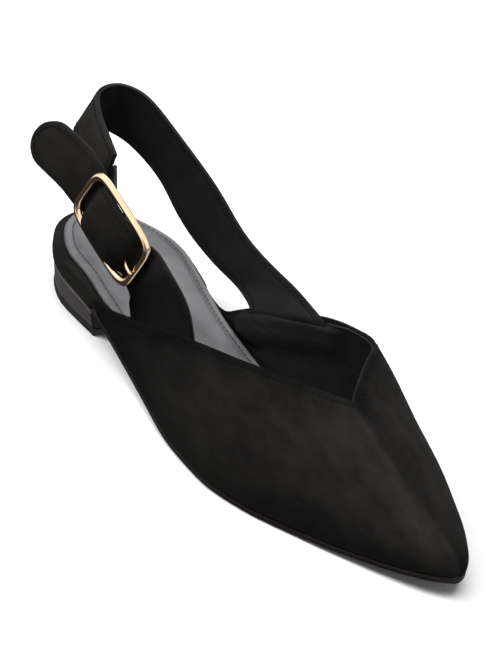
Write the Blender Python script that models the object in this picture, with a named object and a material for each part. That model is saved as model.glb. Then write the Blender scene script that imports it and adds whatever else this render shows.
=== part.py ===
"""A pointed slingback flat for the right foot, in metres, standing on z = 0.

The toe points along +X, the inner (medial) side is +Y and +Z is up. Sizes are in millimetres and are worked
out on the last: "along" runs from the heel's back to the toe, heights are over the floor.
"""

import math
from collections import namedtuple

import bmesh
import bpy
from mathutils import Vector

for old in list(bpy.data.objects):
    bpy.data.objects.remove(old)

MM = 0.001
GAP = 0.3

# The last: where its back and its toe lie, the plan of its sole, and the arch of its underside.
BACK = -5.0
TOE = 268.0
CENTRE_ALONG = 129.95
CENTRE_ACROSS = -1.4
Plan = namedtuple("Plan", "along lateral medial")
PLAN = (
    Plan(BACK, 0, 0),
    Plan(8, 21.1, 19.5),
    Plan(35, 29.6, 27.6),
    Plan(60, 29.6, 25.0),
    Plan(90, 32.4, 20.8),
    Plan(115, 36.1, 20.2),
    Plan(145, 41.0, 27.5),
    Plan(170, 42.2, 39.4),
    Plan(190, 38.1, 41.7),
    Plan(215, 26.8, 37.4),
    Plan(240, 14.0, 29.1),
    Plan(258, 3.3, 20.2),
    Plan(TOE, -9.6, 9.6),
)
HEEL_TOP_FRONT = 13.3
HEEL_TOP_FRONT_ALONG = 48.0
HEEL_TOP_SLOPE = 0.05
TREAD_BACK = 150.0
TREAD_FRONT = 200.0
SHANK_CURVE = 1.5
TOE_SPRING = 6.2

# The sole's layers.
BREAST = 57.5
OUTSOLE_THICK = 3.0
OUTSOLE_ROUND = 0.8
TOP_PIECE_THICK = 3.0
SEAT_THICK = 8.7
INSOLE_THICK = 6.3
SEAT_END = 62.0
SOCK_THICK = 2.0
SOCK_END = 238.0
SOCK_TURN = 38.0
SOCK_INSET_BACK = 4.0
SOCK_CLEAR = 0.8
SOCK_INSET_LATERAL = 4.2
SOCK_INSET_MEDIAL = 2.0
INSOLE_END = 250.0

# The vamp: a wall lasted over the form below its topline, closed in front of the throat's point.
WALL = 1.8
THROAT_BACK = 160.0
THROAT = 198.0
TOE_BOX_ROWS = 12
Form = namedtuple("Form", "along crest_across crest shoulder ridge lateral_bulge medial_bulge")
FORM = (
    Form(60, 0.0, 85.0, 0.90, 0.00, 0.0, 0.0),
    Form(80, 0.0, 83.0, 0.90, 0.00, 0.0, 4.0),
    Form(100, 0.0, 80.0, 0.90, 0.00, 0.0, 8.0),
    Form(136, 0.0, 73.0, 0.85, 0.00, -2.0, 11.0),
    Form(155, 1.0, 67.0, 0.80, 0.02, -0.5, 7.0),
    Form(172, 2.0, 59.5, 0.75, 0.05, 0.8, 4.0),
    Form(198, 2.2, 44.3, 0.60, 0.12, 1.0, 3.8),
    Form(215, 2.8, 38.1, 0.59, 0.12, 0.9, 3.6),
    Form(235, 5.4, 28.4, 0.57, 0.10, 0.8, 3.2),
    Form(252, 8.3, 21.8, 0.56, 0.06, 0.7, 2.4),
    Form(262, 9.4, 17.3, 0.55, 0.03, 0.4, 1.5),
    Form(TOE, 9.6, 9.5, 0.55, 0.00, 0.0, 0.0),
)
WALL_HANDLE = 0.66
Topline = namedtuple("Topline", "along lateral medial")
TOPLINE = (
    Topline(60, 19.6, 16.6),
    Topline(72, 20.8, 15.8),
    Topline(80, 23.0, 16.4),
    Topline(86, 25.0, 20.6),
    Topline(92, 27.2, 25.0),
    Topline(102, 31.2, 30.6),
    Topline(118, 37.0, 37.4),
    Topline(136, 43.5, 44.0),
    Topline(150, 47.6, 47.6),
    Topline(163, 49.8, 49.4),
    Topline(172, 50.3, 50.6),
    Topline(178, 49.5, 51.2),
    Topline(184, 48.3, 49.6),
    Topline(190, 46.3, 47.2),
    Topline(THROAT, 44.3, 44.3),
)

# The buckle: a frame of rounded-rectangle outline with a low centre bar, leaning with the strap.
BUCKLE_CENTRE = Vector((75.3, -37.2, 60.1))
BUCKLE_ALONG = Vector((0.93, 0.07, -0.36)).normalized()
BUCKLE_OUT = Vector((0.146, -0.970, 0.194)).normalized()
BUCKLE_UP = BUCKLE_OUT.cross(BUCKLE_ALONG).normalized()
FRAME_LENGTH = 46.5
FRAME_WIDTH = 25.6
FRAME_SQUARENESS = 5.0
FRAME_BAND = 3.2
FRAME_THICK = 2.6
BAR_RADIUS = 0.8
BAR_DROP = 1.6
PRONG_RADIUS = 0.85
PRONG_ACROSS = -2.0

# The straps, as pairs of edge points across the leather.
STRAP_THICK = 1.8
TAIL_HALF = 11.4
Edges = namedtuple("Edges", "upper lower")
SLING = (
    Edges((118.5, 27.2, 46.5), (86.0, 21.6, 32.0)),
    Edges((97.0, 26.5, 48.2), (71.0, 18.8, 35.4)),
    Edges((78.0, 24.8, 52.8), (57.3, 15.8, 40.6)),
    Edges((58.0, 21.8, 64.2), (46.5, 13.2, 47.1)),
    Edges((35.5, 17.0, 75.0), (31.5, 12.2, 55.5)),
    Edges((16.0, 11.2, 85.0), (14.5, 9.0, 61.5)),
    Edges((5.5, 5.8, 87.0), (1.0, 5.5, 63.2)),
    Edges((1.5, 0.0, 86.0), (-6.5, -2.0, 64.0)),
    Edges((3.0, -6.5, 83.5), (-5.5, -9.5, 64.5)),
    Edges((16.0, -12.5, 81.0), (8.0, -16.0, 61.5)),
    Edges((31.0, -17.5, 80.0), (26.0, -21.0, 58.5)),
    Edges((48.0, -22.8, 78.5), (45.0, -26.2, 57.0)),
)
STRAP_BASE = (
    Edges((127.0, -31.2, 52.0), (90.2, -31.5, 31.2)),
    Edges((114.0, -32.4, 59.5), (92.2, -34.0, 36.4)),
)
Tuck = namedtuple("Tuck", "upper_along upper_depth lower_along lower_depth")
SLING_TUCK = (
    Tuck(144, 8.0, 98, 4.5),
    Tuck(141, 4.0, 99, 2.4),
    Tuck(138, 0.4, 100, 0.4),
)
BUCKLE_TUCK = (
    Tuck(141, 8.0, 84, 3.4),
    Tuck(138.5, 4.0, 85.5, 1.8),
    Tuck(136, 0.4, 87, 0.4),
)
Pass = namedtuple("Pass", "along out half tilt")
STRAP_PASS = (
    Pass(24.5, -2.7, 11.2, 0.0),
    Pass(19.4, -2.8, 10.0, 0.0),
    Pass(15.6, -2.2, 8.7, 0.0),
    Pass(11.4, 0.5, 9.2, 0.8),
    Pass(6.5, 2.0, 9.3, 1.5),
    Pass(0.0, 2.2, 9.3, 1.5),
    Pass(-7.0, 2.0, 9.3, 1.5),
    Pass(-12.4, 0.8, 9.1, 0.9),
    Pass(-16.4, -2.1, 8.6, 0.0),
    Pass(-19.8, -2.8, 10.0, 0.0),
    Pass(-25.0, -2.6, 11.0, 0.0),
)
Tail = namedtuple("Tail", "along across out")
TAIL = (
    Tail(-34.0, 0.0, -1.8),
    Tail(-48.5, -2.8, -0.6),
)
TAIL_TIP_STEPS = 7

# Fineness of the facets.
ALONG_STEPS = 44
SIDE_STEPS = 11
THROAT_STEPS = 12
TOE_STEPS = 18
ACROSS_STEPS = 4
FRAME_STEPS = 40
ROUND_STEPS = 8


def turn(along):
    """The place along the last as an angle, in which its rounded ends run straight."""
    return math.acos(1 - 2 * min(max((along - BACK) / (TOE - BACK), 0.0), 1.0))


def follow(rows, column, along):
    """The column's value at a place along the last, on a smooth curve through the table's rows."""
    places = [turn(row.along) for row in rows]
    values = [getattr(row, column) for row in rows]
    place = min(max(turn(along), places[0]), places[-1])
    k = max(i for i in range(len(rows) - 1) if places[i] <= place)
    slopes = [(values[i + 1] - values[i]) / (places[i + 1] - places[i]) for i in range(len(rows) - 1)]

    def tangent(i):
        if i == 0 or i == len(rows) - 1:
            return slopes[min(i, len(slopes) - 1)]
        before, after = slopes[i - 1], slopes[i]
        if before * after <= 0:
            return 0.0
        return 2 * before * after / (before + after)

    step = places[k + 1] - places[k]
    t = (place - places[k]) / step
    a = (1 + 2 * t) * (1 - t) ** 2
    b = t * (1 - t) ** 2 * step
    c = t * t * (3 - 2 * t)
    d = t * t * (t - 1) * step
    return a * values[k] + b * tangent(k) + c * values[k + 1] + d * tangent(k + 1)


def breadth(along, side):
    """How far the sole's edge lies across from the centre line, lateral at -1 and medial at +1."""
    return side * follow(PLAN, "medial" if side > 0 else "lateral", along)


def sole_bottom(along):
    if along < HEEL_TOP_FRONT_ALONG:
        return HEEL_TOP_FRONT + HEEL_TOP_SLOPE * (HEEL_TOP_FRONT_ALONG - along)
    if along < TREAD_BACK:
        reach = (TREAD_BACK - along) / (TREAD_BACK - HEEL_TOP_FRONT_ALONG)
        return HEEL_TOP_FRONT * reach**SHANK_CURVE
    if along > TREAD_FRONT:
        return TOE_SPRING * ((along - TREAD_FRONT) / (TOE - TREAD_FRONT)) ** 2
    return 0.0


def feather(along):
    """The height at which the vamp's wall stands on the outsole."""
    return sole_bottom(along) + OUTSOLE_THICK + GAP


def ease(value, low, high):
    """0 before low, 1 after high, smooth between."""
    t = min(max((value - low) / (high - low), 0.0), 1.0)
    return t * t * (3 - 2 * t)


def insole_top(along):
    thick = SEAT_THICK + (INSOLE_THICK - SEAT_THICK) * ease(along, 90, 150)
    return sole_bottom(along) + thick


def stations(start, end, count):
    """Places along the last, closer together towards its rounded ends."""
    first, last = turn(start), turn(end)
    turns = [first + (last - first) * i / count for i in range(count + 1)]
    return [BACK + (TOE - BACK) * (1 - math.cos(angle)) / 2 for angle in turns]


def finish(name, build, material):
    """The object of a closed mesh: doubles merged, faces outwards, in metres about the part's origin."""
    bmesh.ops.remove_doubles(build, verts=build.verts, dist=0.01)
    bmesh.ops.recalc_face_normals(build, faces=build.faces)
    shift = Vector((CENTRE_ALONG, CENTRE_ACROSS, 0.0))
    for vertex in build.verts:
        vertex.co = (vertex.co - shift) * MM
    mesh = bpy.data.meshes.new(name)
    build.to_mesh(mesh)
    build.free()
    mesh.shade_smooth()
    mesh.set_sharp_from_angle(angle=math.radians(40))
    made = bpy.data.objects.new(name, mesh)
    bpy.context.scene.collection.objects.link(made)
    if material:
        mesh.materials.append(material)
    return made


def loft(name, rings, material, loop=False):
    """A solid through rings of points. A loop joins its ends, and otherwise both are capped."""
    build = bmesh.new()
    rows = [[build.verts.new(point) for point in ring] for ring in rings]
    pairs = list(zip(rows, rows[1:]))
    if loop:
        pairs.append((rows[-1], rows[0]))
    else:
        build.faces.new(rows[0])
        build.faces.new(rows[-1])
    for one, two in pairs:
        for k in range(len(one)):
            after = (k + 1) % len(one)
            build.faces.new((one[k], one[after], two[after], two[k]))
    return finish(name, build, material)


def sheet(name, grids, thick, outside, inside, material, lowest=None):
    """A wall of even thickness on one or more grids of points that meet along shared points.

    outside and inside are the shares of the thickness laid on either face of the grids."""
    build = bmesh.new()
    for grid in grids:
        rows = [[build.verts.new(point) for point in row] for row in grid]
        for one, two in zip(rows, rows[1:]):
            for k in range(len(one) - 1):
                build.faces.new((one[k], one[k + 1], two[k + 1], two[k]))
    bmesh.ops.remove_doubles(build, verts=build.verts, dist=0.01)
    bmesh.ops.recalc_face_normals(build, faces=build.faces)
    build.normal_update()
    faces = list(build.faces)
    rim = [edge for edge in build.edges if len(edge.link_faces) == 1]
    rim = [(edge.link_loops[0].vert, edge.link_loops[0].link_loop_next.vert) for edge in rim]
    inner = {}
    for vertex in list(build.verts):
        normal = vertex.normal.copy()
        middle = vertex.co.copy()
        vertex.co = middle + normal * thick * outside
        point = middle - normal * thick * inside
        if lowest:
            point.z = max(point.z, lowest(point.x))
        inner[vertex] = build.verts.new(point)
    for face in faces:
        build.faces.new([inner[vertex] for vertex in reversed(face.verts)])
    for one, two in rim:
        build.faces.new((two, one, inner[one], inner[two]))
    return finish(name, build, material)


def cut(target, cutter):
    """Takes the cutter's shape out of the target."""
    cutter.hide_render = True
    cutter.display_type = "WIRE"
    modifier = target.modifiers.new("cut", "BOOLEAN")
    modifier.operation = "DIFFERENCE"
    modifier.object = cutter


def material(name, colour, roughness, metallic=0.0):
    made = bpy.data.materials.new(name)
    made.use_nodes = True
    shader = made.node_tree.nodes["Principled BSDF"]
    shader.inputs["Base Color"].default_value = (*colour, 1.0)
    shader.inputs["Roughness"].default_value = roughness
    shader.inputs["Metallic"].default_value = metallic
    return made


# Outsole: a thin leather plate from the heel's breast to the toe, rounded along its lower edge.
def outsole_ring(along):
    low = sole_bottom(along)
    high = low + OUTSOLE_THICK
    left, right = breadth(along, 1), breadth(along, -1)
    edge = min(OUTSOLE_ROUND, (left - right) / 4)
    section = ((right, high), (left, high), (left, low + edge))
    section += ((left - edge, low), (right + edge, low), (right, low + edge))
    return [(along, across, height) for across, height in section]


def make_outsole():
    leather = material("sole_leather", (0.045, 0.036, 0.032), 0.6)
    places = stations(BREAST + GAP, TOE - 0.15, ALONG_STEPS)
    loft("outsole", [outsole_ring(along) for along in places], leather)


# Heel: a low covered block with its own top piece, set in a little under the seat.
Level = namedtuple("Level", "share sides back")
HEEL_LEVELS = (
    Level(0.00, 3.4, 2.2),
    Level(0.35, 2.6, 1.6),
    Level(0.70, 1.7, 1.1),
    Level(0.92, 1.2, 0.9),
    Level(1.00, 2.0, 1.7),
)
HEEL_HALF = 29.0
HEEL_ROUND_STEPS = 14


def heel_plan(sides, back):
    """The heel's outline at one level, from the breast's lateral corner round to the medial one."""
    places = stations(BACK, BREAST, HEEL_ROUND_STEPS)
    plan = []
    for side, row in ((-1, reversed(places)), (1, places[1:])):
        for along in row:
            moved = along + back * (BREAST - along) / (BREAST - BACK)
            plan.append((moved, breadth(along, side) * (1 - sides / HEEL_HALF)))
    return plan


def make_heel():
    cover = material("heel_leather", (0.055, 0.046, 0.042), 0.42)
    rubber = material("top_piece_rubber", (0.02, 0.018, 0.018), 0.7)
    rings = []
    for level in HEEL_LEVELS:
        low = TOP_PIECE_THICK + GAP
        ring = []
        for along, across in heel_plan(level.sides, level.back):
            ring.append((along, across, low + (sole_bottom(along) - GAP - low) * level.share))
        rings.append(ring)
    loft("heel", rings, cover)
    sides, back = HEEL_LEVELS[0].sides, HEEL_LEVELS[0].back
    levels = ((0.0, 0.5), (0.5, 0.0), (TOP_PIECE_THICK, 0.0))
    rings = []
    for height, edge in levels:
        rings.append([(along, across, height) for along, across in heel_plan(sides + edge, back + edge)])
    loft("heel_top_piece", rings, rubber)


# Insole: the board inside the vamp, built up behind it into the suede-wrapped seat that shows at the heel.
def insole_ring(along, inside_vamp, on_outsole):
    low = sole_bottom(along) + (OUTSOLE_THICK + GAP if on_outsole else GAP)
    high = insole_top(along)
    inset = WALL + 0.6 if inside_vamp else 0.0
    left, right = breadth(along, 1) - inset, breadth(along, -1) + inset
    middle = (left + right) / 2
    half = max((left - right) / 2, 0.4)
    curl = min(1.6, half / 2)
    drop = min(1.6, (high - low) / 3)
    profile = (
        (half - curl, low),
        (half - curl * 0.3, low + drop * 0.3),
        (half, low + drop),
        (half, high - drop * 1.2),
        (half - curl * 0.3, high - drop * 0.35),
        (half - curl, high),
    )
    ring = [(along, middle + across, height) for across, height in profile]
    return ring + [(along, middle - across, height) for across, height in reversed(profile)]


def make_insole():
    suede = material("seat_suede", (0.022, 0.020, 0.019), 0.95)
    rings = [insole_ring(along, False, False) for along in stations(BACK + 0.15, BREAST - GAP, 16)]
    rings += [insole_ring(along, False, True) for along in (BREAST, SEAT_END - GAP)]
    rings += [insole_ring(along, True, True) for along in stations(SEAT_END, INSOLE_END, 30)]
    loft("insole", rings, suede)


# Sock: the padded leather lining glued on the insole, from the heel to well inside the toe.
def sock_edge(along, side, inset):
    """The sock's edge: drawn in all round the seat, then an even distance inside the vamp's wall."""
    edge = breadth(along, side)
    if along < SOCK_TURN:
        return edge * (1 - inset / abs(breadth(SOCK_TURN, side)))
    inside = ease(along, SOCK_TURN, SEAT_END)
    return edge - side * (inset + (WALL + SOCK_CLEAR - inset) * inside)


def sock_ring(along):
    place = along + SOCK_INSET_BACK * (1 - ease(along, BACK, SOCK_TURN))
    low = insole_top(along) + GAP
    high = low + SOCK_THICK
    left = sock_edge(along, 1, SOCK_INSET_MEDIAL)
    right = sock_edge(along, -1, SOCK_INSET_LATERAL)
    middle = (left + right) / 2
    half = max((left - right) / 2, 0.4)
    curl = min(1.2, half / 2)
    profile = (
        (half, low),
        (half, low + SOCK_THICK * 0.4),
        (half - curl * 0.35, high - SOCK_THICK * 0.22),
        (half - curl, high - SOCK_THICK * 0.05),
        (half * 0.45, high),
    )
    ring = [(place, middle + across, height) for across, height in profile]
    return ring + [(place, middle - across, height) for across, height in reversed(profile)]


def make_sock():
    leather = material("sock_leather", (0.16, 0.165, 0.175), 0.32)
    loft("sock", [sock_ring(along) for along in stations(BACK + 0.3, SOCK_END, ALONG_STEPS)], leather)


# Vamp: the suede upper, one wall from the feather line to the topline, closed along its centre ridge.
def last_point(along, side, share):
    """A point of the last's section: share 0 on the feather line, 1 on the crest."""
    low = feather(along)
    crest = follow(FORM, "crest", along)
    rise = max(crest - low, 0.0)
    foot = breadth(along, side)
    top = follow(FORM, "crest_across", along)
    bulge = side * follow(FORM, "medial_bulge" if side > 0 else "lateral_bulge", along)
    shoulder = follow(FORM, "shoulder", along)
    ridge = follow(FORM, "ridge", along)
    across = (foot, foot + bulge, top + shoulder * (foot + bulge - top), top)
    height = (low, low + WALL_HANDLE * rise, low + (1 - ridge) * rise, low + rise)
    weight = ((1 - share) ** 3, 3 * share * (1 - share) ** 2, 3 * share**2 * (1 - share), share**3)
    y = sum(w * a for w, a in zip(weight, across))
    z = sum(w * h for w, h in zip(weight, height))
    return Vector((along, y, z))


def topline(along, side):
    return follow(TOPLINE, "medial" if side > 0 else "lateral", along)


def share_at(along, side, height):
    """How far up the last's section the given height lies."""
    low, high = 0.0, 1.0
    for _ in range(40):
        middle = (low + high) / 2
        if last_point(along, side, middle).z < height:
            low = middle
        else:
            high = middle
    return low


def vamp_half(side):
    start = SEAT_END + 2 * GAP
    places = [start + (THROAT_BACK - start) * i / SIDE_STEPS for i in range(SIDE_STEPS)]
    places += [THROAT_BACK + (THROAT - THROAT_BACK) * i / THROAT_STEPS for i in range(THROAT_STEPS)]
    grid = []
    for along in places + stations(THROAT, TOE, TOE_STEPS):
        top = 1.0
        if along < THROAT:
            top = share_at(along, side, topline(along, side))
        grid.append([last_point(along, side, top * k / TOE_BOX_ROWS) for k in range(TOE_BOX_ROWS + 1)])
    return grid


def make_vamp():
    suede = material("vamp_suede", (0.022, 0.020, 0.019), 0.95)
    sheet("vamp", [vamp_half(-1), vamp_half(1)], WALL, 0.0, 1.0, suede, lowest=feather)


# Straps: flat leather bands through pairs of edge points.
def across_points(edges):
    """A row of the strap: points from its upper edge to its lower one."""
    upper, lower = Vector(edges.upper), Vector(edges.lower)
    return [upper.lerp(lower, k / ACROSS_STEPS) for k in range(ACROSS_STEPS + 1)]


def smooth_rows(rows, steps):
    """Rows on smooth curves through the given ones, with the given number of steps between two of them."""
    made = []
    for k in range(len(rows) - 1):
        before, after = rows[max(k - 1, 0)], rows[min(k + 2, len(rows) - 1)]
        for i in range(steps):
            t = i / steps
            row = []
            for a, b, c, d in zip(before, rows[k], rows[k + 1], after):
                bend = (2 * a - 5 * b + 4 * c - d) * t * t + (3 * b - a - 3 * c + d) * t**3
                row.append(b + ((c - a) * t + bend) / 2)
            made.append(row)
    made.append(rows[-1])
    return made


def inside_wall(along, side, depth):
    """The middle of a strap against the inner face of the vamp's wall, at a depth below the topline."""
    share = share_at(along, side, topline(along, side) - depth)
    point = last_point(along, side, share)
    ahead = last_point(along + 1, side, share) - last_point(along - 1, side, share)
    upward = last_point(along, side, share + 0.02) - last_point(along, side, share - 0.02)
    out = ahead.cross(upward).normalized()
    if out.y * side < 0:
        out.negate()
    return point - out * (WALL + 3 * GAP + STRAP_THICK / 2)


def tucked(row, side):
    """A row of the strap's base, sewn against the wall."""
    points = []
    for k in range(ACROSS_STEPS + 1):
        t = k / ACROSS_STEPS
        along = row.upper_along + (row.lower_along - row.upper_along) * t
        depth = row.upper_depth + (row.lower_depth - row.upper_depth) * t
        points.append(inside_wall(along, side, depth))
    return points


def on_buckle(along, across, out):
    return BUCKLE_CENTRE + along * BUCKLE_ALONG + across * BUCKLE_UP + out * BUCKLE_OUT


def make_sling():
    suede = material("sling_suede", (0.024, 0.022, 0.021), 0.95)
    rows = [tucked(row, 1) for row in SLING_TUCK] + [across_points(row) for row in SLING]
    sheet("sling_strap", [smooth_rows(rows, 3)], STRAP_THICK, 0.5, 0.5, suede)


def make_buckle_strap():
    suede = material("buckle_strap_suede", (0.024, 0.022, 0.021), 0.95)
    rows = [tucked(row, -1) for row in BUCKLE_TUCK] + [across_points(row) for row in STRAP_BASE]
    for step in STRAP_PASS:
        upper = on_buckle(step.along, step.half, step.out - step.tilt)
        lower = on_buckle(step.along, -step.half, step.out + step.tilt)
        rows.append(across_points(Edges(upper, lower)))
    for tail in TAIL:
        upper = on_buckle(tail.along, tail.across + TAIL_HALF, tail.out)
        lower = on_buckle(tail.along, tail.across - TAIL_HALF, tail.out)
        rows.append(across_points(Edges(upper, lower)))
    rows = smooth_rows(rows, 3)
    middle = (rows[-1][0] + rows[-1][-1]) / 2
    ahead = (middle - (rows[-2][0] + rows[-2][-1]) / 2).normalized()
    across = (rows[-1][0] - rows[-1][-1]) / 2
    for i in range(1, TAIL_TIP_STEPS + 1):
        angle = math.radians(84) * i / TAIL_TIP_STEPS
        tip = middle + ahead * TAIL_HALF * math.sin(angle)
        rows.append(across_points(Edges(tip + across * math.cos(angle), tip - across * math.cos(angle))))
    return sheet("buckle_strap", [rows], STRAP_THICK, 0.5, 0.5, suede)


# Buckle: a cast frame with its centre bar, and the prong bent round that bar.
def frame_ring(angle):
    """The band's section at one angle round the frame: flat underneath, with a domed face."""
    def outline(length, width):
        x, y = math.cos(angle), math.sin(angle)
        power = 2 / FRAME_SQUARENESS
        return (
            length / 2 * math.copysign(abs(x) ** power, x),
            width / 2 * math.copysign(abs(y) ** power, y),
        )
    outer = Vector(outline(FRAME_LENGTH, FRAME_WIDTH))
    inner = Vector(outline(FRAME_LENGTH - 2 * FRAME_BAND, FRAME_WIDTH - 2 * FRAME_BAND))
    half = FRAME_THICK / 2
    section = ((0.0, -half * 0.6), (0.0, half * 0.2), (0.25, half * 0.85), (0.5, half))
    section += ((0.75, half * 0.85), (1.0, half * 0.2), (1.0, -half * 0.6), (0.5, -half))
    return [on_buckle(*outer.lerp(inner, share), out) for share, out in section]


def tube(points, radius, steps, side):
    """Rings round a path in the plane that the side vector is square to."""
    rings = []
    for i, point in enumerate(points):
        ahead = (points[min(i + 1, len(points) - 1)] - points[max(i - 1, 0)]).normalized()
        up = side.cross(ahead).normalized()
        ring = []
        for k in range(steps):
            angle = 2 * math.pi * k / steps
            ring.append(point + radius * (math.cos(angle) * side + math.sin(angle) * up))
        rings.append(ring)
    return rings


Bend = namedtuple("Bend", "along out")
PRONG = (
    Bend(4.0, -2.9),
    Bend(9.0, -2.5),
    Bend(12.4, -1.6),
    Bend(15.4, 0.4),
    Bend(18.2, 2.2),
    Bend(22.6, 2.5),
)


def prong_path():
    """From its hook round the bar, under the strap and up through its hole, onto the frame's front end."""
    reach = BAR_RADIUS + GAP + PRONG_RADIUS
    hook = [math.radians(angle) for angle in range(95, 310, 23)]
    path = [(reach * math.cos(a), reach * math.sin(a) - BAR_DROP) for a in hook]
    path += [(bend.along, bend.out) for bend in PRONG]
    return [on_buckle(along, PRONG_ACROSS, out) for along, out in path], len(hook)


def make_buckle(strap):
    gold = material("pale_gold", (0.83, 0.62, 0.45), 0.22, 1.0)
    rings = [frame_ring(2 * math.pi * (i + 0.5) / FRAME_STEPS) for i in range(FRAME_STEPS)]
    frame = loft("buckle_frame", rings, gold, loop=True)
    reach = FRAME_WIDTH / 2 - FRAME_BAND * 0.4
    ends = [on_buckle(0.0, across, -BAR_DROP) for across in (-reach, reach)]
    bar = loft("bar_stock", tube(ends, BAR_RADIUS, 10, BUCKLE_ALONG), None)
    bar.hide_render = True
    bar.display_type = "WIRE"
    join = frame.modifiers.new("bar", "BOOLEAN")
    join.operation = "UNION"
    join.object = bar
    path, hooked = prong_path()
    rings = tube(path, PRONG_RADIUS, ROUND_STEPS, BUCKLE_UP)
    tip = path[-1] + (path[-1] - path[-2]).normalized() * PRONG_RADIUS * 0.6
    rings.append([tip + (point - path[-1]) * 0.55 for point in rings[-1]])
    loft("buckle_prong", rings, gold)
    hole = tube(path[hooked:], PRONG_RADIUS + GAP, ROUND_STEPS, BUCKLE_UP)
    cut(strap, loft("prong_hole", hole, None))


# Elastic loop: folded round the centre bar and sewn to the inner face of the sling strap's end.
LOOP_THICK = 0.7
LOOP_UPPER = 2.0
LOOP_LOWER = -9.0
LOOP_END = Vector((-34.0, -20.9))
LOOP_SLOT = 3.0


def make_elastic_loop():
    elastic = material("loop_elastic", (0.02, 0.02, 0.02), 0.85)
    hole = BAR_RADIUS + GAP
    outer = hole + LOOP_THICK
    run = LOOP_END.normalized()
    square = Vector((-run.y, run.x))
    heading = math.atan2(run.y, run.x)
    half = LOOP_THICK
    points = []
    for i in range(12):
        angle = heading + math.radians(50 + 260 * i / 11)
        spoke = Vector((math.cos(angle), math.sin(angle)))
        points.append((outer * spoke, hole * spoke))
    near = run * (outer + 2.5)
    for place, side in ((near, -1), (LOOP_END, -1), (LOOP_END, 1), (near, 1)):
        points.append((place + side * half * square, hole * run))
    rings = []
    for across, which in ((LOOP_LOWER, 0), (LOOP_UPPER, 0), (LOOP_UPPER, 1), (LOOP_LOWER, 1)):
        rings.append([on_buckle(p[which].x, across, p[which].y - BAR_DROP) for p in points])
    loop = loft("elastic_loop", rings, elastic, loop=True)
    reach = outer + 1.0
    corners = ((-reach, -reach), (reach, -reach), (reach, reach), (-reach, reach))
    slot = []
    for across in (PRONG_ACROSS - LOOP_SLOT / 2, PRONG_ACROSS + LOOP_SLOT / 2):
        slot.append([on_buckle(along, across, out - BAR_DROP) for along, out in corners])
    cut(loop, loft("prong_slot", slot, None))


make_outsole()
make_heel()
make_insole()
make_sock()
make_vamp()
make_sling()
make_buckle(make_buckle_strap())
make_elastic_loop()
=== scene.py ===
import math

import bmesh
import bpy
from mathutils import Matrix, Vector
from mathutils.bvhtree import BVHTree
from mathutils.kdtree import KDTree


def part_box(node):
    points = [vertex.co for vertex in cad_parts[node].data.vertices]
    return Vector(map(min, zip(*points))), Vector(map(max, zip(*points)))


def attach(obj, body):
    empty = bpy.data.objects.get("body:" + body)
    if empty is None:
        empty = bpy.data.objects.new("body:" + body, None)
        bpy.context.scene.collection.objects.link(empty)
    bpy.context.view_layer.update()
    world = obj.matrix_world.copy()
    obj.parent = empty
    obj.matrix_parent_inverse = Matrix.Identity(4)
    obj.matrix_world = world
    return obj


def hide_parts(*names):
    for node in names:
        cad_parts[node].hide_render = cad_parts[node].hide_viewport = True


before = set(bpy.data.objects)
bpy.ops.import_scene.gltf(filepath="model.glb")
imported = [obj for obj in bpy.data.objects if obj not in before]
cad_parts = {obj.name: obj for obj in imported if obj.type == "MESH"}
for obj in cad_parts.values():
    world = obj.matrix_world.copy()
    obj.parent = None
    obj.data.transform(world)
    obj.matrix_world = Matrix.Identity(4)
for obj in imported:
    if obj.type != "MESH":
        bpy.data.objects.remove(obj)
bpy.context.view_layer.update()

# Studio: a long lens looks down on the outer side of the toe, turned about its own line of sight.
# The shoe stands on a pale floor under two soft lights, and its shiny pieces mirror three white cards.
CAMERA_PLACE = (0.78425, -0.5905, 0.5502)
CAMERA_AZIMUTH = math.radians(53.0)
CAMERA_ELEVATION = math.radians(27.6)
CAMERA_ROLL = math.radians(10.8)
CAMERA_LENS = 151.8
CAMERA_NEAR = 0.05
FLOOR_SIZE = 30.0
FLOOR_PALE = (0.9, 0.9, 0.905, 1.0)
ROOM_LIGHT = 0.25
ROOM_LIGHT_HEIGHT = 0.6
GLOW_SIDE = (0.7, 0.7, 0.0)
GLOW_BRIGHT = 0.8
GLOW_DARK = 0.04
GLOW_EDGE = 0.25
LIGHTS_AIM = Vector((0.0, 0.0, 0.03))

turn = Matrix.Rotation(CAMERA_AZIMUTH, 3, "Z")
turn = turn @ Matrix.Rotation(math.pi / 2 - CAMERA_ELEVATION, 3, "X")
turn = turn @ Matrix.Rotation(CAMERA_ROLL, 3, "Z")
bpy.ops.object.camera_add(location=CAMERA_PLACE, rotation=turn.to_euler())
camera = bpy.context.active_object
camera.data.lens = CAMERA_LENS
camera.data.clip_start = CAMERA_NEAR
bpy.context.scene.camera = camera

bpy.ops.mesh.primitive_plane_add(size=FLOOR_SIZE, location=(0.0, 0.0, 0.0))
floor = bpy.context.active_object
floor.name = "floor"
floor_paint = bpy.data.materials.new("floor_paint")
floor_paint.use_nodes = True
floor_shader = floor_paint.node_tree.nodes["Principled BSDF"]
floor_shader.inputs["Base Color"].default_value = FLOOR_PALE
floor_shader.inputs["Roughness"].default_value = 0.7
floor_shader.inputs["Specular IOR Level"].default_value = 0.1
floor.data.materials.append(floor_paint)
floor.visible_diffuse = False
floor.visible_glossy = False

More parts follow.
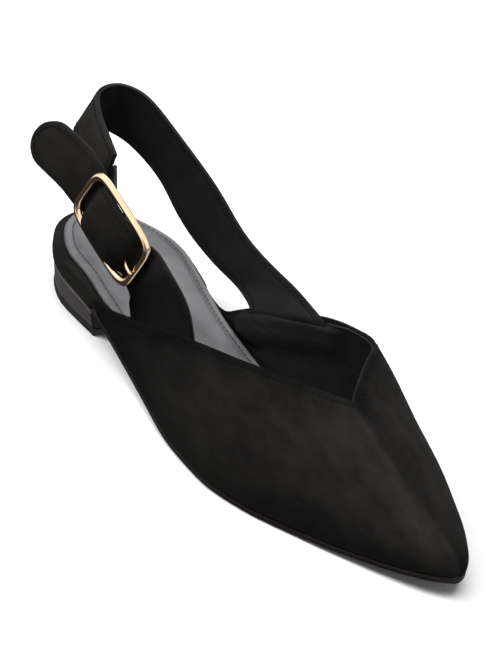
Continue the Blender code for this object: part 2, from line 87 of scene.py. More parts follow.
# Low down, the room is bright on the inner side of the toe and dark elsewhere. Higher up it is even.
room = bpy.data.worlds.new("room")
room.use_nodes = True
room_nodes, room_links = room.node_tree.nodes, room.node_tree.links
looking = room_nodes.new("ShaderNodeTexCoord")
split = room_nodes.new("ShaderNodeSeparateXYZ")
towards = room_nodes.new("ShaderNodeVectorMath")
towards.operation = "DOT_PRODUCT"
towards.inputs[1].default_value = GLOW_SIDE
overhead = room_nodes.new("ShaderNodeMapRange")
overhead.inputs["From Max"].default_value = ROOM_LIGHT_HEIGHT
glow = room_nodes.new("ShaderNodeMapRange")
glow.inputs["From Max"].default_value = GLOW_EDGE
glow.inputs["To Min"].default_value = GLOW_DARK
glow.inputs["To Max"].default_value = GLOW_BRIGHT
blend = room_nodes.new("ShaderNodeMix")
blend.inputs[3].default_value = ROOM_LIGHT
room_links.new(looking.outputs["Generated"], split.inputs["Vector"])
room_links.new(split.outputs["Z"], overhead.inputs["Value"])
room_links.new(looking.outputs["Generated"], towards.inputs[0])
room_links.new(towards.outputs["Value"], glow.inputs["Value"])
room_links.new(overhead.outputs["Result"], blend.inputs[0])
room_links.new(glow.outputs["Result"], blend.inputs[2])
room_links.new(blend.outputs[0], room_nodes["Background"].inputs["Strength"])
room_nodes["Background"].inputs["Color"].default_value = (1.0, 1.0, 1.0, 1.0)
bpy.context.scene.world = room
bpy.context.scene.view_settings.view_transform = "Standard"


def soft_light(name, place, size, watts):
    """A square soft light that looks at the shoe."""
    aim = (LIGHTS_AIM - Vector(place)).to_track_quat("-Z", "Y").to_euler()
    bpy.ops.object.light_add(type="AREA", location=place, rotation=aim)
    made = bpy.context.active_object
    made.name = name
    made.data.size = size
    made.data.energy = watts
    return made


soft_light("overhead_light", (0.2, -0.4, 2.9), 3.0, 102.0).visible_glossy = False
soft_light("left_light", (-1.6, -1.6, 1.7), 1.2, 68.0).visible_glossy = False
soft_light("ceiling_card", (0.0, -0.3, 3.0), 6.0, 100.0).visible_diffuse = False
soft_light("side_card", (-1.9, -2.4, 1.2), 3.0, 28.0).visible_diffuse = False
soft_light("rear_card", (-1.25, 1.05, 1.3), 1.0, 5.0).visible_diffuse = False


# Outsole: a thin plate of dark sole leather, cut to the plan of the last and glued under the upper.
# Its edge is trimmed, inked and buffed, and its tread side is roughened.
MM = 0.001
SOLE_EDGE_INK = (0.02, 0.0165, 0.015)
SOLE_TREAD = (0.05, 0.043, 0.038)
TREAD_FACING = -0.85
MERGE_DISTANCE = 0.01 * MM
PAIRING_ANGLE = math.radians(120)
SOFT_EDGE_ANGLE = math.radians(45)


def pick(piece):
    """Selects this piece alone and makes it the active one."""
    bpy.ops.object.select_all(action="DESELECT")
    piece.select_set(True)
    bpy.context.view_layer.objects.active = piece


def copy_solid(node, name):
    """A new piece in the solid's shape, with its points merged and its triangles paired."""
    piece = bpy.data.objects.new(name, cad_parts[node].data.copy())
    piece.data.name = name
    piece.data.materials.clear()
    bpy.context.scene.collection.objects.link(piece)
    pick(piece)
    bpy.ops.mesh.customdata_custom_splitnormals_clear()
    bpy.ops.object.mode_set(mode="EDIT")
    bpy.ops.mesh.select_all(action="SELECT")
    bpy.ops.mesh.remove_doubles(threshold=MERGE_DISTANCE)
    bpy.ops.mesh.tris_convert_to_quads(
        face_threshold=PAIRING_ANGLE,
        shape_threshold=PAIRING_ANGLE,
        topology_influence=1.0,
    )
    bpy.ops.object.mode_set(mode="OBJECT")
    return piece


def crease_edges(piece, angle, crease):
    """Holds the edges that bend by more than the angle when the piece is smoothed."""
    pick(piece)
    bpy.ops.object.mode_set(mode="EDIT")
    bpy.ops.mesh.select_mode(type="EDGE")
    bpy.ops.mesh.select_all(action="DESELECT")
    bpy.ops.mesh.edges_select_sharp(sharpness=math.radians(angle))
    bpy.ops.transform.edge_crease(value=crease)
    bpy.ops.object.mode_set(mode="OBJECT")


def modify(piece, kind, **settings):
    """Adds one modifier with its settings and applies it."""
    pick(piece)
    modifier = piece.modifiers.new(kind.lower(), kind)
    for setting, value in settings.items():
        setattr(modifier, setting, value)
    bpy.ops.object.modifier_apply(modifier=modifier.name)


def smooth(piece, levels):
    """Rounds the piece off by subdivision and shades its soft edges smooth."""
    modify(piece, "SUBSURF", levels=levels, render_levels=levels, boundary_smooth="PRESERVE_CORNERS")
    bpy.ops.object.shade_smooth_by_angle(angle=SOFT_EDGE_ANGLE)


def dress(piece, slot, *nodes):
    """The piece rides on the shoe and stands for the nodes, which it hides. The slot is not used."""
    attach(piece, "root")
    if nodes:
        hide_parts(*nodes)


def leather(name, colour, roughness, grain, depth, gloss=0.5):
    """Finished leather: a pebbled grain of the given size, cloudy dye and an uneven soft shine."""
    made = bpy.data.materials.new(name)
    made.use_nodes = True
    nodes, links = made.node_tree.nodes, made.node_tree.links
    shader = nodes["Principled BSDF"]
    shader.inputs["Specular IOR Level"].default_value = gloss
    place = nodes.new("ShaderNodeTexCoord")
    pebble = nodes.new("ShaderNodeTexVoronoi")
    pebble.feature = "SMOOTH_F1"
    pebble.inputs["Scale"].default_value = 1 / (grain * MM)
    pebble.inputs["Smoothness"].default_value = 0.6
    bump = nodes.new("ShaderNodeBump")
    bump.inputs["Strength"].default_value = depth
    bump.inputs["Distance"].default_value = 0.2 * MM
    cloud = nodes.new("ShaderNodeTexNoise")
    cloud.inputs["Scale"].default_value = 90.0
    cloud.inputs["Detail"].default_value = 5.0
    dye = nodes.new("ShaderNodeValToRGB")
    dye.color_ramp.elements[0].position = 0.3
    dye.color_ramp.elements[0].color = (*(0.75 * c for c in colour), 1.0)
    dye.color_ramp.elements[1].position = 0.75
    dye.color_ramp.elements[1].color = (*(1.2 * c for c in colour), 1.0)
    shine = nodes.new("ShaderNodeMapRange")
    shine.inputs["To Min"].default_value = roughness - 0.06
    shine.inputs["To Max"].default_value = roughness + 0.08
    links.new(place.outputs["Object"], pebble.inputs["Vector"])
    links.new(place.outputs["Object"], cloud.inputs["Vector"])
    links.new(pebble.outputs["Distance"], bump.inputs["Height"])
    links.new(bump.outputs["Normal"], shader.inputs["Normal"])
    links.new(cloud.outputs["Fac"], dye.inputs["Fac"])
    links.new(dye.outputs["Color"], shader.inputs["Base Color"])
    links.new(cloud.outputs["Fac"], shine.inputs["Value"])
    links.new(shine.outputs["Result"], shader.inputs["Roughness"])
    return made


outsole = copy_solid("outsole", "outsole_leather")
crease_edges(outsole, angle=60, crease=0.9)
smooth(outsole, 2)
sole_edge = leather("sole_edge_leather", SOLE_EDGE_INK, roughness=0.6, grain=0.5, depth=0.15, gloss=0.15)
outsole.data.materials.append(sole_edge)
sole_tread = leather("sole_tread_leather", SOLE_TREAD, roughness=0.75, grain=0.8, depth=0.5)
outsole.data.materials.append(sole_tread)
for face in outsole.data.polygons:
    face.material_index = 1 if face.normal.z < TREAD_FACING else 0
dress(outsole, "sole_leather", "outsole")


# Heel: a low block covered with smooth dark leather that is pulled tight and turned under at its ends.
# Its breast takes the sole edge's dark finish as painted shade under the arch, and a black rubber top
# piece is nailed beneath it.
HEEL_LEATHER = (0.105, 0.099, 0.096)
BREAST_FACING = 0.7
TOP_PIECE_RUBBER = (0.016, 0.015, 0.015)

heel = copy_solid("heel", "heel_cover")
crease_edges(heel, angle=50, crease=0.85)
smooth(heel, 3)
heel_leather = leather("heel_cover_leather", HEEL_LEATHER, roughness=0.48, grain=0.45, depth=0.12)
heel.data.materials.append(heel_leather)
heel.data.materials.append(sole_edge)
# Painted shade: the breast faces the toe under the arch and takes the sole edge's darker finish.
for face in heel.data.polygons:
    face.material_index = 1 if face.normal.x > BREAST_FACING else 0
dress(heel, "heel_leather", "heel")

top_piece = copy_solid("heel_top_piece", "heel_rubber")
modify(top_piece, "BEVEL", width=0.3 * MM, segments=2, limit_method="ANGLE", angle_limit=math.radians(50))
bpy.ops.object.shade_smooth_by_angle(angle=math.radians(40))
rubber = leather("top_piece_rubber", TOP_PIECE_RUBBER, roughness=0.7, grain=0.35, depth=0.4)
top_piece.data.materials.append(rubber)
dress(top_piece, "top_piece_rubber", "heel_top_piece")


# Seat: the insole's board with its built-up heel end wrapped in black suede.
# The suede is turned over the top edge in a soft roll and drawn tight round the underside.
SUEDE_DARK = (0.0075, 0.007, 0.0066)
SUEDE_LIGHT = (0.017, 0.0162, 0.0152)


def suede(name, dark, light, brush_turn):
    """Black suede: short matt nap with brushed lighter and darker patches along the brush's turn.

    Where a piece has the point attribute that this material reads, it paints light and shade into the
    nap, lighter or darker by that share."""
    made = bpy.data.materials.new(name)
    made.use_nodes = True
    nodes, links = made.node_tree.nodes, made.node_tree.links
    shader = nodes["Principled BSDF"]
    shader.inputs["Roughness"].default_value = 0.95
    shader.inputs["Specular IOR Level"].default_value = 0.04
    shader.inputs["Sheen Weight"].default_value = 0.02
    shader.inputs["Sheen Roughness"].default_value = 0.5
    shader.inputs["Sheen Tint"].default_value = (0.9, 0.87, 0.84, 1.0)
    place = nodes.new("ShaderNodeTexCoord")
    stroke = nodes.new("ShaderNodeMapping")
    stroke.inputs["Rotation"].default_value = (0.0, 0.0, brush_turn)
    stroke.inputs["Scale"].default_value = (1.0, 3.0, 3.0)
    brushed = nodes.new("ShaderNodeTexNoise")
    brushed.inputs["Scale"].default_value = 52.0
    brushed.inputs["Detail"].default_value = 7.0
    brushed.inputs["Roughness"].default_value = 0.62
    nap = nodes.new("ShaderNodeTexNoise")
    nap.inputs["Scale"].default_value = 2600.0
    nap.inputs["Detail"].default_value = 6.0
    nap.inputs["Roughness"].default_value = 0.7
    tone = nodes.new("ShaderNodeMath")
    tone.operation = "MULTIPLY_ADD"
    tone.inputs[1].default_value = 0.45
    colour = nodes.new("ShaderNodeValToRGB")
    colour.color_ramp.elements[0].position = 0.48
    colour.color_ramp.elements[0].color = (*dark, 1.0)
    colour.color_ramp.elements[1].position = 0.95
    colour.color_ramp.elements[1].color = (*light, 1.0)
    # Painted light and shade: the piece's point attribute scales the nap's colour.
    painted_shading = nodes.new("ShaderNodeAttribute")
    painted_shading.attribute_name = "painted_shading"
    share = nodes.new("ShaderNodeMath")
    share.inputs[1].default_value = 1.0
    shaded = nodes.new("ShaderNodeVectorMath")
    shaded.operation = "SCALE"
    bump = nodes.new("ShaderNodeBump")
    bump.inputs["Strength"].default_value = 0.35
    bump.inputs["Distance"].default_value = 0.12 * MM
    links.new(place.outputs["Object"], stroke.inputs["Vector"])
    links.new(stroke.outputs["Vector"], brushed.inputs["Vector"])
    links.new(place.outputs["Object"], nap.inputs["Vector"])
    links.new(nap.outputs["Fac"], tone.inputs[0])
    links.new(brushed.outputs["Fac"], tone.inputs[2])
    links.new(tone.outputs["Value"], colour.inputs["Fac"])
    links.new(painted_shading.outputs["Fac"], share.inputs[0])
    links.new(colour.outputs["Color"], shaded.inputs[0])
    links.new(share.outputs["Value"], shaded.inputs["Scale"])
    links.new(shaded.outputs["Vector"], shader.inputs["Base Color"])
    links.new(nap.outputs["Fac"], bump.inputs["Height"])
    links.new(bump.outputs["Normal"], shader.inputs["Normal"])
    return made


seat = copy_solid("insole", "seat_suede")
smooth(seat, 2)
seat.data.materials.append(suede("seat_nap", SUEDE_DARK, SUEDE_LIGHT, 0.0))
dress(seat, "seat_suede", "insole")


# Sock: a padded lining of smooth grey leather, glued on the seat and stitched all round near its edge.
# The stitching pulls the leather down, so that a soft roll stands outside it.
SOCK_GREY = (0.13, 0.131, 0.138)
THREAD_GREY = (0.05, 0.05, 0.052)
SOCK_CROWN = 1.5 * MM
SOCK_CROWN_WIDTH = 18.0 * MM
SOCK_SEAM_INSET = 3.6 * MM
STITCH_LENGTH = 1.8 * MM
STITCH_WIDTH = 0.38 * MM
STITCH_HEIGHT = 0.26 * MM
SEAM_STEP = 0.65 * MM
STEPS_PER_STITCH = 4
SKIN_EDGE_ANGLE = math.radians(45)


def split_skins(node, name, inside):
    """The solid's two broad faces as open skins, the one that looks away from the inside point first."""
    piece = copy_solid(node, name)
    bpy.ops.object.mode_set(mode="EDIT")
    bpy.ops.mesh.select_mode(type="EDGE")
    bpy.ops.mesh.select_all(action="DESELECT")
    bpy.ops.mesh.edges_select_sharp(sharpness=SKIN_EDGE_ANGLE)
    bpy.ops.mesh.edge_split(type="EDGE")
    bpy.ops.mesh.select_all(action="SELECT")
    bpy.ops.mesh.separate(type="LOOSE")
    bpy.ops.object.mode_set(mode="OBJECT")

    def area(shell):
        return sum(f.area for f in shell.data.polygons)

    def looks_out(shell):
        return sum(f.area * f.normal.dot(f.center - Vector(inside)) for f in shell.data.polygons)

    shells = sorted(bpy.context.selected_objects, key=area)
    for scrap in shells[:-2]:
        bpy.data.objects.remove(scrap)
    return sorted(shells[-2:], key=looks_out, reverse=True)


def longest_rim(build):
    """The points of a skin's longest rim in their order round it."""
    left = dict.fromkeys(edge for edge in build.edges if edge.is_boundary)
    rims = []
    while left:
        edge = next(iter(left))
        del left[edge]
        rim = [edge.verts[0], edge.verts[1]]
        while rim[-1] is not rim[0]:
            edge = next(edge for edge in rim[-1].link_edges if edge in left)
            del left[edge]
            rim.append(edge.other_vert(rim[-1]))
        rims.append(rim[:-1])
    return max(rims, key=len)


def tree_of(points):
    """The points in a tree that finds the one nearest to a place."""
    tree = KDTree(len(points))
    for i, point in enumerate(points):
        tree.insert(point, i)
    tree.balance()
    return tree


def rim_tree(skin, wanted=lambda point: True):
    """The wanted points of a skin's rims."""
    build = bmesh.new()
    build.from_mesh(skin.data)
    points = [vertex.co.copy() for vertex in build.verts if vertex.is_boundary and wanted(vertex.co)]
    build.free()
    return tree_of(points)


def ramp(value, start, end):
    """0 before start, 1 after end, smooth between."""
    share = min(max((value - start) / (end - start), 0.0), 1.0)
    return share * share * (3 - 2 * share)


def seam_along(skin, inset, lift=None, keep=lambda point, inward: True):
    """Where stitches run: points a step apart, set in from a skin's rim, each with its run and normal.

    lift is the direction that the inset is square to, where it isn't the skin's own normal.
    A point that comes nearer to another part of the rim, as in a tight corner, is left out."""
    build = bmesh.new()
    build.from_mesh(skin.data)
    surface = BVHTree.FromBMesh(build)
    rim = longest_rim(build)
    edge_points = tree_of([vertex.co for vertex in rim])
    runs = [[]]
    for i, vertex in enumerate(rim):
        run = (rim[(i + 1) % len(rim)].co - rim[i - 1].co).normalized()
        inward = (lift or vertex.normal).cross(run).normalized()
        ways = [surface.find_nearest(vertex.co + way * inset * inward)[3] for way in (1, -1)]
        if ways[1] < ways[0]:
            inward.negate()
        point = vertex.co + inward * inset
        near = edge_points.find(point)[2]
        if keep(vertex.co, inward) and near > 0.9 * inset:
            runs[-1].append(point)
        elif runs[-1]:
            runs.append([])
    seam = []
    for run in runs:
        walked = 0.0
        for one, two in zip(run, run[1:]):
            length = (two - one).length
            while walked < length < 3 * inset:
                place, normal, _, away = surface.find_nearest(one.lerp(two, walked / length))
                if away < 0.7 * inset:
                    seam.append((place, (two - one).normalized(), normal))
                walked += SEAM_STEP
            walked = max(walked - length, 0.0)
    build.free()
    return seam


def normals_of(skin):
    """The normals at a skin's points, kept as they are while the points move."""
    return [vertex.normal.copy() for vertex in skin.data.vertices]


def press_seam(skin, seam, width, depth):
    """Pulls the skin down along a seam, as tight thread does."""
    line = tree_of([point for point, _, _ in seam])
    for vertex, normal in zip(skin.data.vertices, normals_of(skin)):
        away = line.find(vertex.co)[2] / width
        if away < 1:
            vertex.co -= normal * depth * (1 - away * away) ** 2


def sew(name, seams, thread):
    """One row of stitches for each seam, copies of one stitch that dips into the leather at both ends."""
    bpy.ops.object.select_all(action="DESELECT")
    bpy.ops.mesh.primitive_cylinder_add(vertices=6, radius=STITCH_WIDTH / 2, depth=STITCH_LENGTH)
    stitch = bpy.context.active_object
    bpy.ops.object.mode_set(mode="EDIT")
    bpy.ops.mesh.bevel(offset=STITCH_WIDTH / 4, segments=1)
    bpy.ops.object.mode_set(mode="OBJECT")
    lay_down = Matrix.Rotation(math.pi / 2, 4, "Y")
    stitch.data.transform(Matrix.Diagonal((1.0, 1.0, 2 * STITCH_HEIGHT / STITCH_WIDTH, 1.0)) @ lay_down)
    stitch.data.materials.append(thread)
    copies = []
    for seam in seams:
        for point, run, normal in seam[::STEPS_PER_STITCH]:
            side = normal.cross(run).normalized()
            axes = Matrix((side.cross(normal), side, normal)).transposed().to_4x4()
            copy = bpy.data.objects.new(name, stitch.data.copy())
            copy.data.transform(Matrix.Translation(point) @ axes)
            bpy.context.scene.collection.objects.link(copy)
            copies.append(copy)
    bpy.data.objects.remove(stitch)
    bpy.ops.object.select_all(action="DESELECT")
    for copy in copies:
        copy.select_set(True)
    bpy.context.view_layer.objects.active = copies[0]
    bpy.ops.object.join()
    bpy.ops.object.shade_smooth()
    copies[0].name = name
    return copies[0]


def thread(name, colour):
    """Waxed thread: a twist across its run and a dull shine."""
    made = bpy.data.materials.new(name)
    made.use_nodes = True
    nodes, links = made.node_tree.nodes, made.node_tree.links
    shader = nodes["Principled BSDF"]
    shader.inputs["Base Color"].default_value = (*colour, 1.0)
    shader.inputs["Roughness"].default_value = 0.75
    shader.inputs["Specular IOR Level"].default_value = 0.08
    place = nodes.new("ShaderNodeTexCoord")
    twist = nodes.new("ShaderNodeTexNoise")
    twist.inputs["Scale"].default_value = 4000.0
    bump = nodes.new("ShaderNodeBump")
    bump.inputs["Strength"].default_value = 0.4
    bump.inputs["Distance"].default_value = 0.1 * MM
    links.new(place.outputs["Object"], twist.inputs["Vector"])
    links.new(twist.outputs["Fac"], bump.inputs["Height"])
    links.new(bump.outputs["Normal"], shader.inputs["Normal"])
    return made


sock_top, sock_back = split_skins("sock", "sock_leather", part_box("outsole")[0])
if sum(f.normal.z for f in sock_top.data.polygons) < 0:
    sock_top, sock_back = sock_back, sock_top
bpy.data.objects.remove(sock_back)
smooth(sock_top, 3)
sock_rim = rim_tree(sock_top)
for vertex in sock_top.data.vertices:
    vertex.co.z += SOCK_CROWN * ramp(sock_rim.find(vertex.co)[2], 0.0, SOCK_CROWN_WIDTH)
sock_seam = seam_along(sock_top, SOCK_SEAM_INSET, lift=Vector((0.0, 0.0, 1.0)))
press_seam(sock_top, sock_seam, width=2.2 * MM, depth=0.5 * MM)
modify(sock_top, "SOLIDIFY", thickness=0.3 * MM, offset=-1.0)
sock_top.name = "sock_leather"
sock_lining = leather("sock_lining_leather", SOCK_GREY, roughness=0.34, grain=0.6, depth=0.1)
sock_top.data.materials.append(sock_lining)
dress(sock_top, "sock_leather", "sock")
sock_stitches = sew("sock_stitches", [sock_seam], thread("grey_thread", THREAD_GREY))
dress(sock_stitches, "sock_leather")


# Upper: black suede lasted over the form, with a V-cut throat and a soft fold from it to the toe.
# Its topline is folded over a dark leather lining and stitched, and the straps are sewn in between.
SUEDE_WALL = 1.2 * MM
LINING_WALL = 0.4 * MM
LINING_DROP = 0.9 * MM
RIM_REACH = 0.1 * MM
LINING_DARK = (0.0096, 0.0094, 0.0093)
TOPLINE_INSET = 2.2 * MM
TOPLINE_FACING = -0.15
THROAT_POINT = 68.05 * MM
STATION = 0.1 * MM
FOLD_CREASE = 0.85
FOLD_STEPS = 8
FOLD_SIDE = 1.2 * MM
HOLLOW_DEPTH = 0.7 * MM
HOLLOW_FROM_FOLD = (0.0, 5 * MM)
HOLLOW_TO_WALL = (17 * MM, 7 * MM)
HOLLOW_REAR_END = (THROAT_POINT, THROAT_POINT + 14 * MM)
HOLLOW_TOE_END = (134 * MM, 118 * MM)
# Painted light and painted shade in the upper's suede colour: their shares, and the distances over which
# they fade.
PAINTED_LIGHT = 0.32
PAINTED_SHADE = 0.3
PAINTED_SHADE_REAR = 0.54
PAINTED_SHADE_TOPLINE = 0.42
PAINTED_SHADE_DEEPEST = -0.75
LIGHT_BY_FOLD = (24 * MM, 3 * MM)
DARK_BY_FOLD = (14 * MM, 4 * MM)
DARK_TO_REAR = (45 * MM, -35 * MM)
DARK_BY_TOPLINE = (12 * MM, 0.5 * MM)
DARK_BY_SOLE = (14 * MM, 2 * MM)
FOOT_AXIS = (0.02, 0.0, 0.0)
TOPLINE_LOWEST = 15.2 * MM
STRAP_SEATS = {"inner": (-34 * MM, 14 * MM), "outer": (-48 * MM, 11 * MM)}
STRAP_SEAT_DEPTH = 3.5 * MM
SEAT_FADE = {"rear": 7 * MM, "front": 8 * MM}
SEAT_BELOW_TOPLINE = (18 * MM, 9 * MM)
SEAT_ABOVE_SOLE = (6.5 * MM, 9.5 * MM)
SEAT_AT_TOPLINE = (0.5 * MM, 4 * MM)
BLACK_THREAD = (0.006, 0.0059, 0.0057)


def fold_over(piece, wall, edge):
    """Gives a skin its thickness on the side away from its face, and rounds its edges."""
    modify(piece, "SOLIDIFY", thickness=wall, offset=-1.0)
    modify(
        piece,
        "BEVEL",
        width=edge,
        segments=3,
        limit_method="ANGLE",
        angle_limit=math.radians(60),
    )
    bpy.ops.object.shade_smooth_by_angle(angle=math.radians(50))


upper, lining = split_skins("vamp", "upper_suede", FOOT_AXIS)
pick(upper)
bpy.ops.object.mode_set(mode="EDIT")
bpy.ops.mesh.select_mode(type="EDGE")
bpy.ops.mesh.select_all(action="DESELECT")
bpy.ops.object.mode_set(mode="OBJECT")
ridge = {}
for vertex in upper.data.vertices:
    if vertex.co.x > THROAT_POINT - STATION:
        station = round(vertex.co.x / STATION)
        if station not in ridge or vertex.co.z > ridge[station].co.z:
            ridge[station] = vertex
crest = [ridge[station].co.copy() for station in sorted(ridge)]
crest_points = {vertex.index for vertex in ridge.values()}
for edge in upper.data.edges:
    edge.select = crest_points.issuperset(edge.vertices)
bpy.ops.object.mode_set(mode="EDIT")
bpy.ops.transform.edge_crease(value=FOLD_CREASE)
bpy.ops.object.mode_set(mode="OBJECT")
smooth(upper, 2)
fold = [one.lerp(two, k / FOLD_STEPS) for one, two in zip(crest, crest[1:]) for k in range(FOLD_STEPS)]
fold_line = tree_of(fold)
for vertex, normal in zip(upper.data.vertices, normals_of(upper)):
    near, i, away = fold_line.find(vertex.co)
    if vertex.co.y > near.y and 0 < i < len(fold) - 1:
        hollow = ramp(away, *HOLLOW_FROM_FOLD) * ramp(away, *HOLLOW_TO_WALL)
        hollow *= ramp(near.x, *HOLLOW_REAR_END) * ramp(near.x, *HOLLOW_TOE_END)
        vertex.co -= normal * (HOLLOW_DEPTH * hollow)
topline_seam = seam_along(upper, TOPLINE_INSET, keep=lambda point, inward: inward.z < TOPLINE_FACING)
top_rim = rim_tree(upper, lambda point: point.z > TOPLINE_LOWEST)
foot_rim = rim_tree(upper, lambda point: point.z < TOPLINE_LOWEST)
# Painted light and shade in the nap's colour: lighter on the outer side of the fold, darker in the hollow
# on its inner side, towards the heel, along the topline and near the sole.
painted_shading = upper.data.attributes.new("painted_shading", "FLOAT", "POINT")
for vertex, value in zip(upper.data.vertices, painted_shading.data):
    near, _, away = fold_line.find(vertex.co)
    inner = ramp(vertex.co.y - near.y, -FOLD_SIDE, FOLD_SIDE)
    lighter = PAINTED_LIGHT * (1 - inner) * ramp(away, *LIGHT_BY_FOLD)
    darker = PAINTED_SHADE * inner * ramp(away, *DARK_BY_FOLD)
    darker += PAINTED_SHADE_REAR * (1 - inner) * ramp(vertex.co.x, *DARK_TO_REAR)
    darker += PAINTED_SHADE_TOPLINE * ramp(top_rim.find(vertex.co)[2], *DARK_BY_TOPLINE)
    darker += PAINTED_SHADE * ramp(foot_rim.find(vertex.co)[2], *DARK_BY_SOLE)
    value.value = max(lighter - darker, PAINTED_SHADE_DEEPEST)
press_seam(upper, topline_seam, width=1.5 * MM, depth=0.14 * MM)
fold_over(upper, SUEDE_WALL, edge=0.45 * MM)
upper.name = "upper_suede"
upper.data.materials.append(suede("upper_nap", SUEDE_DARK, SUEDE_LIGHT, 0.35))
dress(upper, "vamp_suede", "vamp")
black_thread = thread("black_thread", BLACK_THREAD)
dress(sew("topline_stitches", [topline_seam], black_thread), "vamp_suede")

smooth(lining, 2)
top_rim = rim_tree(lining, lambda point: point.z > TOPLINE_LOWEST)
foot_rim = rim_tree(lining, lambda point: point.z < TOPLINE_LOWEST)
for vertex, normal in zip(lining.data.vertices, normals_of(lining)):
    depth = top_rim.find(vertex.co)[2]
    height = foot_rim.find(vertex.co)[2]
    rear, front = STRAP_SEATS["inner" if vertex.co.y > 0 else "outer"]
    pushed = ramp(vertex.co.x, rear - SEAT_FADE["rear"], rear)
    pushed *= ramp(vertex.co.x, front + SEAT_FADE["front"], front)
    pushed *= ramp(depth, *SEAT_BELOW_TOPLINE) * ramp(height, *SEAT_ABOVE_SOLE)
    pushed *= 0.5 + 0.5 * ramp(depth, *SEAT_AT_TOPLINE)
    vertex.co += normal * (STRAP_SEAT_DEPTH * pushed)
    if depth < RIM_REACH:
        vertex.co.z -= LINING_DROP
fold_over(lining, LINING_WALL, edge=0.2 * MM)
lining.name = "upper_lining"
lining_leather = leather(
    "upper_lining_leather", LINING_DARK, roughness=0.5, grain=0.7, depth=0.2, gloss=0.22
)
lining_nodes, lining_links = lining_leather.node_tree.nodes, lining_leather.node_tree.links
along_foot = lining_nodes.new("ShaderNodeMapping")
along_foot.inputs["Rotation"].default_value = (0.0, 0.25, 0.0)
along_foot.inputs["Scale"].default_value = (1.0, 7.0, 7.0)
creases = lining_nodes.new("ShaderNodeTexNoise")
creases.inputs["Scale"].default_value = 60.0
creases.inputs["Detail"].default_value = 4.0
drawn = lining_nodes.new("ShaderNodeBump")
drawn.inputs["Strength"].default_value = 0.6
drawn.inputs["Distance"].default_value = 0.8 * MM
lining_links.new(lining_nodes["Texture Coordinate"].outputs["Object"], along_foot.inputs["Vector"])
lining_links.new(along_foot.outputs["Vector"], creases.inputs["Vector"])
lining_links.new(creases.outputs["Fac"], drawn.inputs["Height"])
lining_links.new(lining_nodes["Bump"].outputs["Normal"], drawn.inputs["Normal"])
lining_links.new(drawn.outputs["Normal"], lining_nodes["Principled BSDF"].inputs["Normal"])
lining.data.materials.append(lining_leather)
dress(lining, "vamp_suede")


# Sling strap: a band of suede and a band of lining leather, glued back to back, folded and edge stitched.
# It is sewn into the upper's inner side, goes round the heel and ends behind the buckle.
STRAP_SUEDE = 1.05 * MM
STRAP_LINING = 0.65 * MM
STRAP_SEAM_INSET = 2.2 * MM
HEEL_MIDDLE = (-0.09, 0.0, 0.06)
STRAP_LINING_DARK = (0.008, 0.0078, 0.0076)
# Painted light and shade in the straps' suede colour: its share, and the heights over which it turns from
# darker to lighter.
STRAP_PAINTED_SHADING = 0.5
STRAP_PAINTED_SHADING_RISE = (50 * MM, 86 * MM)
STRAP_SEAM_PULL = {"width": 1.5 * MM, "depth": 0.15 * MM}


def make_strap(node, name, slot, inside):
    """The strap's suede, lining and two rows of edge stitches on each face."""
    face, back = split_skins(node, name, inside)
    smooth(face, 3)
    face_seam = seam_along(face, STRAP_SEAM_INSET)
    press_seam(face, face_seam, **STRAP_SEAM_PULL)
    # Painted light and shade in the nap's colour: lighter high up, darker low down.
    painted_shading = face.data.attributes.new("painted_shading", "FLOAT", "POINT")
    for vertex, value in zip(face.data.vertices, painted_shading.data):
        value.value = STRAP_PAINTED_SHADING * (2 * ramp(vertex.co.z, *STRAP_PAINTED_SHADING_RISE) - 1)
    fold_over(face, STRAP_SUEDE, edge=0.4 * MM)
    face.name = name + "_suede"
    face.data.materials.append(suede(name + "_nap", SUEDE_DARK, SUEDE_LIGHT, 0.0))
    dress(face, slot, node)
    smooth(back, 3)
    back_seam = seam_along(back, STRAP_SEAM_INSET)
    press_seam(back, back_seam, **STRAP_SEAM_PULL)
    fold_over(back, STRAP_LINING, edge=0.2 * MM)
    back.name = name + "_lining"
    strap_lining = leather(
        name + "_lining_leather", STRAP_LINING_DARK, roughness=0.5, grain=0.7, depth=0.2, gloss=0.2
    )
    back.data.materials.append(strap_lining)
    dress(back, slot)
    dress(sew(name + "_stitches", [face_seam, back_seam], black_thread), slot)


make_strap("sling_strap", "sling", "sling_suede", HEEL_MIDDLE)


# Buckle strap: the same two layers, sewn into the upper's outer side, with a round tail.
# It goes up through the buckle, over its bar and down again, and the prong stands in its hole.
make_strap("buckle_strap", "buckle_strap", "buckle_strap_suede", HEEL_MIDDLE)


# Elastic loop: black woven elastic, folded round the buckle's bar and sewn to the sling's end.
# Its ribs run along it.
ELASTIC_BLACK = (0.014, 0.014, 0.014)
RIB_WIDTH = 0.7 * MM

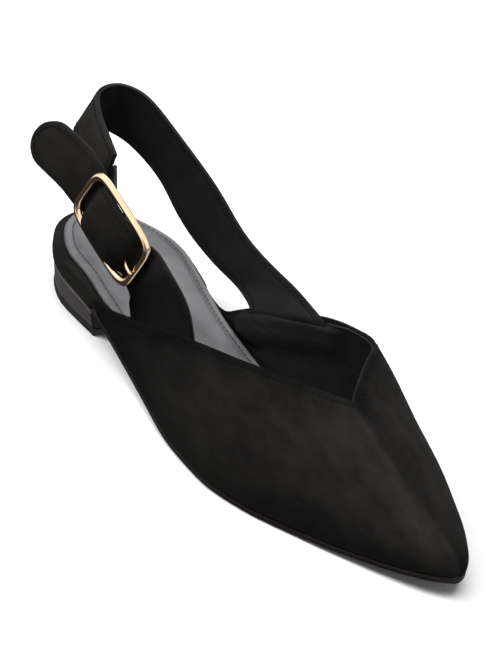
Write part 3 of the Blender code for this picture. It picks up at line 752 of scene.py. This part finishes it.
elastic = copy_solid("elastic_loop", "elastic_loop_webbing")
modify(elastic, "BEVEL", width=0.12 * MM, segments=1, limit_method="ANGLE", angle_limit=math.radians(50))
bpy.ops.object.shade_smooth_by_angle(angle=math.radians(40))
webbing = bpy.data.materials.new("elastic_webbing")
webbing.use_nodes = True
web_nodes, web_links = webbing.node_tree.nodes, webbing.node_tree.links
web_shader = web_nodes["Principled BSDF"]
web_shader.inputs["Base Color"].default_value = (*ELASTIC_BLACK, 1.0)
web_shader.inputs["Roughness"].default_value = 0.8
web_place = web_nodes.new("ShaderNodeTexCoord")
ribs = web_nodes.new("ShaderNodeTexWave")
ribs.bands_direction = "Z"
ribs.inputs["Scale"].default_value = math.pi / (10 * RIB_WIDTH)
web_bump = web_nodes.new("ShaderNodeBump")
web_bump.inputs["Strength"].default_value = 0.5
web_bump.inputs["Distance"].default_value = 0.2 * MM
web_links.new(web_place.outputs["Object"], ribs.inputs["Vector"])
web_links.new(ribs.outputs["Fac"], web_bump.inputs["Height"])
web_links.new(web_bump.outputs["Normal"], web_shader.inputs["Normal"])
elastic.data.materials.append(webbing)
dress(elastic, "loop_elastic", "elastic_loop")


# Buckle: a cast frame with a centre bar and a bent wire prong, polished and plated in pale gold.
# The elastic loop holds the bar. The prong is hooked round it and rests on the frame's front end.
GOLD = (0.98, 0.71, 0.47)
GOLD_SHINIEST = 0.08
GOLD_DULLEST = 0.18

gold = bpy.data.materials.new("gold_plating")
gold.use_nodes = True
gold_nodes, gold_links = gold.node_tree.nodes, gold.node_tree.links
gold_shader = gold_nodes["Principled BSDF"]
gold_shader.inputs["Base Color"].default_value = (*GOLD, 1.0)
gold_shader.inputs["Metallic"].default_value = 1.0
gold_place = gold_nodes.new("ShaderNodeTexCoord")
wear = gold_nodes.new("ShaderNodeTexNoise")
wear.inputs["Scale"].default_value = 350.0
wear.inputs["Detail"].default_value = 4.0
polish = gold_nodes.new("ShaderNodeMapRange")
polish.inputs["To Min"].default_value = GOLD_SHINIEST
polish.inputs["To Max"].default_value = GOLD_DULLEST
gold_links.new(gold_place.outputs["Object"], wear.inputs["Vector"])
gold_links.new(wear.outputs["Fac"], polish.inputs["Value"])
gold_links.new(polish.outputs["Result"], gold_shader.inputs["Roughness"])

for node, name in (("buckle_frame", "buckle_frame_cast"), ("buckle_prong", "buckle_prong_wire")):
    metal = copy_solid(node, name)
    crease_edges(metal, angle=60, crease=0.4)
    smooth(metal, 2)
    metal.data.materials.append(gold)
    dress(metal, "pale_gold", node)
